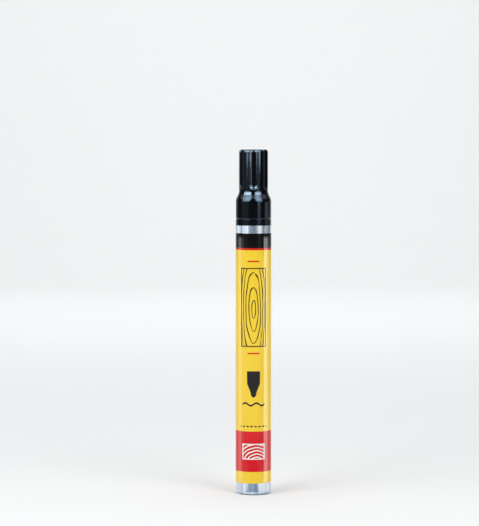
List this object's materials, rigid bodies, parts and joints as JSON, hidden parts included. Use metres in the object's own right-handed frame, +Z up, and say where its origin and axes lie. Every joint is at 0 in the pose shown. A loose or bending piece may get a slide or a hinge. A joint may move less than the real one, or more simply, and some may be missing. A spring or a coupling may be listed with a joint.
{
  "type": "wood stain marker",
  "caption": "Wood stain marker with an aluminium barrel, wrap-round label, fluted push-on cap, felt nib and a spring-loaded valve that opens when the nib is pressed.",
  "frame": {"origin": "centre of the barrel's flat base, which the marker stands on", "axes": "+Z up the barrel's axis towards the nib, -Y towards the front of the label, where a flute of the cap faces"},
  "size_m": [0.0152, 0.0152, 0.1458],
  "materials": {
    "barrel_aluminium": "bright drawn aluminium, fine lines along the barrel",
    "label_film": "glossy printed film, yellow with plain red and black bands",
    "neck_plastic": "moulded black plastic, semi-gloss",
    "felt": "dense bonded felt, off-white",
    "natural_plastic": "natural unpigmented plastic, waxy",
    "seal_rubber": "matt black rubber",
    "spring_steel": "drawn stainless wire",
    "cap_plastic": "polished moulded black plastic",
    "ball_steel": "polished bearing steel"
  },
  "bodies": {
    "marker": {"barrel": "barrel_aluminium", "label": "label_film", "neck": "neck_plastic", "nib_holder": "neck_plastic", "valve_sleeve": "natural_plastic", "valve_spring": "spring_steel", "spring_retainer": "natural_plastic"},
    "cap": {"cap": "cap_plastic", "cap_liner": "natural_plastic"},
    "nib": {"nib": "felt", "valve_rod": "natural_plastic", "valve_seal": "seal_rubber"},
    "ball_a": {"mixing_ball_a": "ball_steel"},
    "ball_b": {"mixing_ball_b": "ball_steel"}
  },
  "joints": [
    {"name": "cap_pull", "type": "slide", "parent": "marker", "child": "cap", "axis": [0, 0, 1], "range_m": [0, 0.04]},
    {"name": "nib_press", "type": "slide", "parent": "marker", "child": "nib", "axis": [0, 0, -1], "range_m": [0, 0.002], "stiffness_N_per_m": 800, "springref_m": -0.002, "deforming": ["valve_spring"]},
    {"name": "ball_a_roll", "type": "slide", "parent": "marker", "child": "ball_a", "axis": [0, 0, 1], "range_m": [0, 0.094]},
    {"name": "ball_b_roll", "type": "slide", "parent": "marker", "child": "ball_b", "axis": [0, 0, 1], "range_m": [0, 0.094]}
  ]
}
